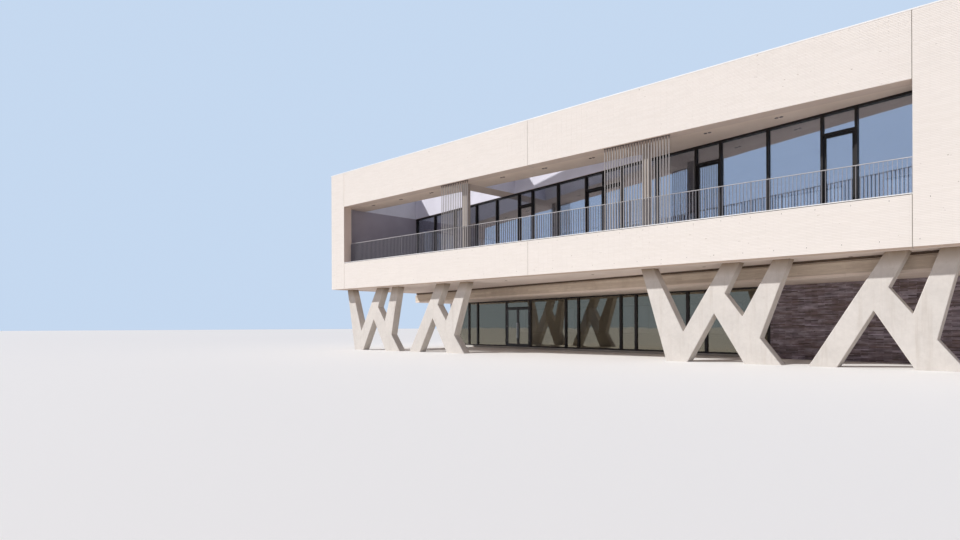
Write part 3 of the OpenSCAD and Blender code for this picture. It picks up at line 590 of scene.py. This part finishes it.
def merged_copy(name):
    """A CAD node's shape with its loose triangles joined into flat faces"""
    bm = bmesh.new()
    bm.from_mesh(nodes[name].data)
    bmesh.ops.remove_doubles(bm, verts=bm.verts, dist=merge_gap)
    bmesh.ops.dissolve_limit(bm, angle_limit=flat_angle, verts=bm.verts, edges=bm.edges)
    return bm


# The supports' heads take a brown that is painted shade under the soffit, with some stain.
support_concrete = cast_concrete("support_concrete", cast_pale, cast_deep, cast_stain,
                                 head=(head_shade_brown, soffit_z - head_shade_h, soffit_z))
for number in range(1, 5):
    bm = merged_copy(f"support_{number}")
    levels = [v.co.z for v in bm.verts]
    seats = (min(levels), max(levels))
    free_edges = [e for e in bm.edges
                  if not any(all(abs(v.co.z - z) < seat_height for v in e.verts) for z in seats)]
    bmesh.ops.bevel(bm, geom=free_edges, offset=chamfer, offset_type="OFFSET", segments=2,
                    profile=0.5, affect="EDGES", material=-1, clamp_overlap=True)
    support = object_from(bm, f"support_{number}_cast", support_concrete)
    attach(support, "root")
    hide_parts(f"support_{number}")
# The slim columns' darker colour is painted shade, for the shade they stand in.
dress(cast_concrete("column_shaded_concrete", column_shade_pale, column_shade_deep, cast_stain), "slim_columns")


# The concrete band under the soffit: cast against sawn boards, whose joints and grain stay in its
# face as courses of slightly different height and tone. The open joint above it is painted dark as shade.
board_l = 3.1
board_h = 0.1235
board_joint = 0.004
board_proud = 0.004
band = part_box("concrete_band")
board_pale = (0.76, 0.67, 0.56, 1)
board_deep = (0.61, 0.52, 0.43, 1)
board_stain = (0.38, 0.31, 0.25, 1)
board_foot = (0.95, 0.84, 0.77, 1)
board_foot_h = 0.10
board_foot_fade = 0.02
open_joint_shade = (0.120, 0.085, 0.060, 1)
joint_shade_h = 0.09
band_face_z = max(v.co.z for v in nodes["concrete_band"].data.vertices
                  if abs(v.co.y - band[0].y) < seat_height)


def repaint(tree, share, colour):
    """Lays another colour over a finished material where share is 1"""
    base_colour = tree.nodes["Principled BSDF"].inputs["Base Color"]
    earlier = base_colour.links[0].from_socket
    tree.links.new(blend_colours(tree, share, earlier, colour), base_colour)


board_backing = cast_concrete("band_concrete", board_deep, board_deep, board_stain)
tree = board_backing.node_tree
repaint(tree, math_node(tree, "LESS_THAN", facing(tree)[2], -mostly), board_foot)
# The upper part of the open joint is painted near black, as the shade in it.
in_joint_shade = math_node(tree, "GREATER_THAN", place_parts(tree)[2], soffit_z - joint_shade_h)
repaint(tree, in_joint_shade, open_joint_shade)
dress(board_backing, "concrete_band")


def board_marked(name, pale, deep, stain):
    """Concrete that shows sawn boards: each board's own tone and the grain along it"""
    along_boards = (0.5, 1, 14)
    material, tree, shader = new_finish(name, roughness=0.82)
    tone = add_node(tree, "ShaderNodeAttribute", attribute_name="tone").outputs["Fac"]
    grain = noise(tree, 5.0, 6, 0.62, along_boards)
    colour = blend_colours(tree, tone, pale, deep)
    colour = blend_colours(tree, narrowed(tree, grain, 0.4, 0.75, 0, 0.6), colour, stain)
    damp = narrowed(tree, noise(tree, 0.9, 5, 0.6, (1, 1, 0.5)), 0.5, 0.68, 0, 0.45)
    colour = blend_colours(tree, damp, colour, stain)
    foot_z = band[0].z + board_foot_h
    foot = narrowed(tree, place_parts(tree)[2], foot_z, foot_z - board_foot_fade, 0, 0.6)
    colour = blend_colours(tree, foot, colour, board_foot)
    tree.links.new(colour, shader.inputs["Base Color"])
    bump(tree, shader, grain, 0.006)
    return material


board_marks = board_marked("board_marks", board_pale, board_deep, board_stain)
slip_wall("band_boards", [((wall_left_x, wall_right_x), (band[0].z, band_face_z))], band[0].z,
          Matrix.Translation((0, band[0].y, 0)), board_marks, seed=31,
          size=(board_l, board_h), joint=board_joint, proud=board_proud)


# Soffits, ceilings and floors: painted plaster on the undersides, floated concrete on the floors,
# and grey roofing felt, a metre wide and lapped at its edges, on the roof between the high edges.
# The hollow edge of the open part of the loggia is brick like the walls round it.
soffit_pale = (0.86, 0.765, 0.715, 1)
soffit_deep = (0.78, 0.69, 0.64, 1)
strip_pale = (0.80, 0.665, 0.565, 1)
strip_deep = (0.73, 0.60, 0.505, 1)
ceiling_pale = (0.95, 0.84, 0.76, 1)
ceiling_deep = (0.90, 0.79, 0.71, 1)
floor_pale = (0.50, 0.485, 0.46, 1)
floor_deep = (0.40, 0.385, 0.365, 1)
room_pale = (0.80, 0.78, 0.64, 1)
room_deep = (0.73, 0.71, 0.58, 1)
felt_pale = (0.33, 0.335, 0.34, 1)
felt_deep = (0.26, 0.265, 0.27, 1)
felt_lap = (0.17, 0.172, 0.175, 1)
felt_roll_l = 7.5
felt_roll_w = 1.0
felt_lap_w = 0.02
felt_stagger = 0.37


def plaster(name, pale, deep, felted=False, upright=None):
    """Rolled paint on smooth plaster. Its upper side may be felted, and its upright faces may be
    brick or have the two tones of another coat"""
    material, tree, shader = new_finish(name, roughness=0.85)
    clouds = narrowed(tree, noise(tree, 0.9, 5), 0.35, 0.65)
    colour = blend_colours(tree, clouds, pale, deep)
    relief = noise(tree, 120, 3)
    if upright:
        if upright == "brick":
            side, lines = bond(tree, soffit_z, white_pale, white_deep, white_mortar)
            relief = math_node(tree, "SUBTRACT", relief, math_node(tree, "MULTIPLY", lines, 2))
        else:
            side = blend_colours(tree, clouds, *upright)
        colour = blend_colours(tree, is_level(tree), side, colour)
    if felted:
        rolls = add_node(tree, "ShaderNodeTexBrick", {
            "Vector": object_place(tree), "Scale": 1.0, "Brick Width": felt_roll_l,
            "Row Height": felt_roll_w, "Mortar Size": felt_lap_w, "Mortar Smooth": 0.3, "Bias": 0.0,
            "Color1": felt_pale, "Color2": felt_deep, "Mortar": felt_lap}, offset=felt_stagger)
        worn = blend_colours(tree, narrowed(tree, noise(tree, 0.35, 6), 0.4, 0.7, 0, 0.5),
                             rolls.outputs[0], felt_pale)
        looks_up = math_node(tree, "GREATER_THAN", facing(tree)[2], mostly)
        colour = blend_colours(tree, looks_up, colour, worn)
    tree.links.new(colour, shader.inputs["Base Color"])
    bump(tree, shader, relief, 0.001)
    return material


dress(plaster("soffit_paint", soffit_pale, soffit_deep), "soffit_slab")
dress(plaster("loggia_ceiling_paint", strip_pale, strip_deep, felted=True, upright="brick"),
      "loggia_ceiling_strips", "loggia_roof")
dress(plaster("ground_ceiling_paint", ceiling_pale, ceiling_deep, upright=(board_pale, board_deep)),
      "ground_ceiling")
dress(plaster("upper_ceiling_paint", room_pale, room_deep), "upper_ceiling")
dress(plaster("floor_screed", floor_pale, floor_deep), "ground_slab", "upper_floor", "floor_beams")
dress(plaster("roof_felt", plaster_white, plaster_white, felted=True), "roof_slab")


# The left end of the loggia is lined with dark grey board below the ceiling, between the front
# wall and the glazing, while the wall above it stays white. The board's lilac tint is painted sky light.
lining_t = 0.012
lining_grey_sky_tint = (0.400, 0.365, 0.415, 1)
lining_deep_sky_tint = (0.360, 0.328, 0.372, 1)
ceiling_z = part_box("loggia_ceiling_strips")[0].z
upper_floor_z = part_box("upper_floor")[1].z
glazing_line_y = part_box("upper_glazing_frames")[0].y


def straight_box(bm, x, y, z):
    """Adds a box that stands square to the building, from its two ends along each axis"""
    made = bmesh.ops.create_cube(bm, size=1)["verts"]
    bmesh.ops.scale(bm, vec=(x[1] - x[0], y[1] - y[0], z[1] - z[0]), verts=made)
    bmesh.ops.translate(bm, vec=((x[0] + x[1]) / 2, (y[0] + y[1]) / 2, (z[0] + z[1]) / 2), verts=made)


bm = bmesh.new()
straight_box(bm, (left_inner_x, left_inner_x + lining_t), (wall_front_y, glazing_line_y),
             (upper_floor_z, ceiling_z))
front_back = on_front @ Vector((0, front_wall_t, 0))
trim(bm, front_back, on_front.to_3x3() @ Vector((0, -1, 0)))
# The lining's lilac tint is painted sky light on a dark grey board.
lining = object_from(bm, "loggia_end_lining", plaster("lining_board", lining_grey_sky_tint, lining_deep_sky_tint))
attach(lining, "root")


# The frames of the glazed walls, windows and doors: folded metal in a satin dark bronze coat,
# nearly black on the deep fins upstairs. Wide folded covers are clipped over the ground floor's
# mullions. The door pulls, and the fronts of the hinge barrels on the leaves, are brushed steel.
bronze_dark = (0.018, 0.013, 0.011, 1)
bronze_light = (0.026, 0.019, 0.016, 1)
fin_dark = (0.011, 0.008, 0.007, 1)
fin_light = (0.016, 0.012, 0.010, 1)
steel_brushed = (0.56, 0.56, 0.55, 1)


def coated_metal(name, pale, deep, rough, shine=0.5):
    """A baked coat on metal, a little uneven, with a fine grain"""
    material, tree, shader = new_finish(name, rough)
    shader.inputs["Specular IOR Level"].default_value = shine
    colour = blend_colours(tree, narrowed(tree, noise(tree, 2.5, 5), 0.35, 0.65), pale, deep)
    tree.links.new(colour, shader.inputs["Base Color"])
    tree.links.new(narrowed(tree, noise(tree, 14, 4), 0.3, 0.7, rough - 0.06, rough + 0.08),
                   shader.inputs["Roughness"])
    bump(tree, shader, noise(tree, 220, 2), 0.0004)
    return material


dark_frames = coated_metal("bronze_coat", bronze_light, bronze_dark, rough=0.45, shine=0.3)
dress(dark_frames, "ground_frames", "ground_back_frames", "upper_window_frames", "door_frame")
cover_w = 0.15
cover_proud = 0.018
cover_edge = 0.003
frames_low, frames_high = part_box("ground_frames")
door_left_x, door_right_x = (corner.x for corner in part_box("door_frame"))
bm = bmesh.new()
for left_x, right_x in spans("ground_frames", 0):
    if min(abs(right_x - door_left_x), abs(left_x - door_right_x)) > cover_w:
        middle_x = (left_x + right_x) / 2
        cover_x = (max(middle_x - cover_w / 2, frames_low.x), min(middle_x + cover_w / 2, frames_high.x))
        straight_box(bm, cover_x, (frames_low.y - cover_proud, frames_low.y), (frames_low.z, frames_high.z))
bmesh.ops.bevel(bm, geom=bm.edges[:], offset=cover_edge, offset_type="OFFSET", segments=2,
                profile=0.5, affect="EDGES", material=-1)
covers = object_from(bm, "ground_mullion_covers", dark_frames)
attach(covers, "root")
dress(coated_metal("fin_coat", fin_light, fin_dark, rough=0.5, shine=0.25), "upper_glazing_frames")
pull_clear = 0.020


def leaf_finish(name, steel_y):
    """The leaves' coat, which ends at the bare steel that stands out in front of steel_y"""
    material, tree, shader = new_finish(name, roughness=0.38)
    steel = math_node(tree, "LESS_THAN", place_parts(tree)[1], steel_y)
    colour = blend_colours(tree, steel, bronze_light, steel_brushed)
    tree.links.new(colour, shader.inputs["Base Color"])
    tree.links.new(steel, shader.inputs["Metallic"])
    bump(tree, shader, noise(tree, 220, 2), 0.0004)
    return material


dress(leaf_finish("leaf_coat", frames_low.y - pull_clear), "door_leaf_left", "door_leaf_right")


# The panes: coated double glazing. Upstairs it mirrors the sky in a soft grey blue and lets the
# rooms' ceilings show through; the ground floor's glass has less coat and looks darker.
sky_coat = (0.67, 0.715, 0.83, 1)
clear_coat = (0.262, 0.248, 0.195, 1)


def pane_glass(name, coat, metallic, alpha):
    """Coated glass, very faintly uneven as toughened panes are"""
    material, tree, shader = new_finish(name, roughness=0.02, metallic=metallic)
    shader.inputs["Base Color"].default_value = coat
    shader.inputs["Alpha"].default_value = alpha
    bump(tree, shader, noise(tree, 0.7, 2), 0.002)
    material.surface_render_method = "BLENDED"
    return material


dress(pane_glass("upper_panes", sky_coat, metallic=1.0, alpha=0.50), "upper_glazing_glass",
      "upper_window_glass")
dress(pane_glass("ground_panes", clear_coat, metallic=0.8, alpha=0.68), "ground_glass",
      "ground_back_glass", "door_glass_left", "door_glass_right")


# The railing: six panels of flat steel bars, set edge on to the front and welded between a foot
# and a hand rail. The hand rail has a light grey coat, the foot rail and the bars a darker one, and
# the bars' sides are painted darker still as shade. It replaces the plainer square bars of the model.
rail_pale = (0.60, 0.585, 0.59, 1)
rail_deep = (0.53, 0.515, 0.52, 1)
flat_front = (0.36, 0.345, 0.37, 1)
flat_side_shade = (0.125, 0.12, 0.135, 1)
rail_h = 0.022
rail_edge = 0.003
flat_t = 0.012
flat_d = 0.044
flat_pitch = 0.12
across = 0.8
rail_low_z, rail_high_z = (corner.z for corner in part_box("railing"))
rail_marks = [on_front.inverted() @ v.co for v in nodes["railing"].data.vertices
              if v.co.z < rail_low_z + seat_height]
rail_b = (min(co.y for co in rail_marks), max(co.y for co in rail_marks))
panel_ends = sorted({round(co.x, 3) for co in rail_marks})
flat_b = ((sum(rail_b) - flat_d) / 2, (sum(rail_b) + flat_d) / 2)
bm = bmesh.new()
for start_s, end_s in zip(panel_ends[::2], panel_ends[1::2]):
    rails = bmesh.new()
    for low_z in (rail_low_z, rail_high_z - rail_h):
        front_box(rails, (start_s, end_s), rail_b, (low_z, low_z + rail_h))
    bmesh.ops.bevel(rails, geom=rails.edges[:], offset=rail_edge, offset_type="OFFSET", segments=2,
                    profile=0.5, affect="EDGES", material=-1)
    rail_mesh = bpy.data.meshes.new("rails")
    rails.to_mesh(rail_mesh)
    rails.free()
    bm.from_mesh(rail_mesh)
    bpy.data.meshes.remove(rail_mesh)
    flat_count = math.floor((end_s - start_s - flat_t) / flat_pitch)
    flat_step = (end_s - start_s - flat_t) / flat_count
    for i in range(flat_count + 1):
        s = start_s + i * flat_step
        front_box(bm, (s, s + flat_t), flat_b, (rail_low_z + rail_h, rail_high_z - rail_h))
rail_coat = coated_metal("rail_coat", rail_pale, rail_deep, rough=0.42)
tree = rail_coat.node_tree
repaint(tree, math_node(tree, "LESS_THAN", place_parts(tree)[2], rail_high_z - rail_h), flat_front)
# The bars' sides, which look along the front, are painted dark as shade.
side_shade_mask = math_node(tree, "ABSOLUTE", facing(tree)[0])
repaint(tree, math_node(tree, "GREATER_THAN", side_shade_mask, across), flat_side_shade)
railing = object_from(bm, "railing_flats", rail_coat)
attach(railing, "root")
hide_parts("railing")


# The rod screens are pale steel tubes between two plates, their top ends painted dark as the shade
# under the band. The copings and sills are folded sheet in a white coat, in lengths that meet at
# narrow joints. The joints in the front wall are filled with grey-brown mastic.
rod_pale = (0.47, 0.445, 0.435, 1)
rod_deep = (0.40, 0.38, 0.37, 1)
rod_top_shade = (0.13, 0.10, 0.09, 1)
rod_shade_h = 0.16
rod_shade_fade = 0.064
sheet_pale = (0.95, 0.95, 0.95, 1)
sheet_deep = (0.90, 0.905, 0.91, 1)
mastic_pale = (0.42, 0.375, 0.335, 1)
mastic_deep = (0.32, 0.285, 0.25, 1)
rod_coat = coated_metal("rod_coat", rod_pale, rod_deep, rough=0.38)
tree = rod_coat.node_tree
# The rods' top ends are painted dark, as shade under the band.
rod_shade_z = ceiling_z - rod_shade_h
repaint(tree, narrowed(tree, place_parts(tree)[2], rod_shade_z, rod_shade_z + rod_shade_fade), rod_top_shade)
dress(rod_coat, "rod_screens")
dress(coated_metal("coping_sheet", sheet_pale, sheet_deep, rough=0.45), "roof_coping", "band_sill",
      "window_sills")
dress(plain_matt("joint_mastic", mastic_pale, mastic_deep), "movement_joints")


# Downlights: pairs of small round fittings in the loggia's ceiling strip, at an even spacing that
# skips the beams, and single ones in the big soffit. Each is a spun bezel round a dark lens.
light_pitch = 2.5
light_first_s = 3.0
light_back = 0.92
light_gap = 0.155
bezel_r = 0.072
bezel_w = 0.014
bezel_h = 0.006
round_steps = 24
bezel_pale = (0.18, 0.115, 0.085, 1)
bezel_deep = (0.15, 0.095, 0.070, 1)
lens_pale = (0.09, 0.055, 0.040, 1)
lens_deep = (0.07, 0.045, 0.032, 1)
light_skipped = (3, 7)
light_count = 10
soffit_light_s = (2.6, 7.6, 12.6, 17.6, 22.6, 27.57)
soffit_light_back = 1.72


def downlight(bm, place):
    """A bezel and its lens under a ceiling, facing down"""
    ring = bmesh.new()
    corners = [ring.verts.new(co) for co in ((bezel_r - bezel_w, 0, 0), (bezel_r, 0, 0),
                                             (bezel_r - bezel_w / 3, 0, -bezel_h),
                                             (bezel_r - bezel_w, 0, -bezel_h / 2))]
    profile = [ring.edges.new((corners[i], corners[(i + 1) % 4])) for i in range(4)]
    bmesh.ops.spin(ring, geom=corners + profile, cent=(0, 0, 0), axis=(0, 0, 1), dvec=(0, 0, 0),
                   angle=math.tau, steps=round_steps, use_merge=True, use_duplicate=False)
    bmesh.ops.recalc_face_normals(ring, faces=ring.faces)
    bmesh.ops.translate(ring, vec=place, verts=ring.verts)
    mesh = bpy.data.meshes.new("bezel")
    ring.to_mesh(mesh)
    ring.free()
    bm.from_mesh(mesh)
    bpy.data.meshes.remove(mesh)


def light_lens(bm, place):
    made = bmesh.ops.create_cone(bm, cap_ends=True, segments=round_steps, radius1=bezel_r - bezel_w,
                                 radius2=bezel_r - bezel_w, depth=bezel_h / 3)["verts"]
    bmesh.ops.translate(bm, vec=Vector(place) - Vector((0, 0, bezel_h / 6)), verts=made)


light_places = []
for i in range(light_count):
    if i not in light_skipped:
        for side in (-0.5, 0.5):
            light_places.append(on_front @ Vector((light_first_s + i * light_pitch + side * light_gap,
                                                   light_back, ceiling_z)))
for s in soffit_light_s:
    light_places.append(on_front @ Vector((s, soffit_light_back, soffit_z)))
bezels, lenses = bmesh.new(), bmesh.new()
for place in light_places:
    downlight(bezels, place)
    light_lens(lenses, place)
bezel_coat = coated_metal("bezel_coat", bezel_pale, bezel_deep, rough=0.4)
bezel_piece = object_from(bezels, "downlight_bezels", bezel_coat)
lens_glass = coated_metal("lens_dark", lens_pale, lens_deep, rough=0.15)
lens_piece = object_from(lenses, "downlight_lenses", lens_glass)
for piece, slot in ((bezel_piece, "light_metal"), (lens_piece, "frame_metal")):
    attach(piece, "root")
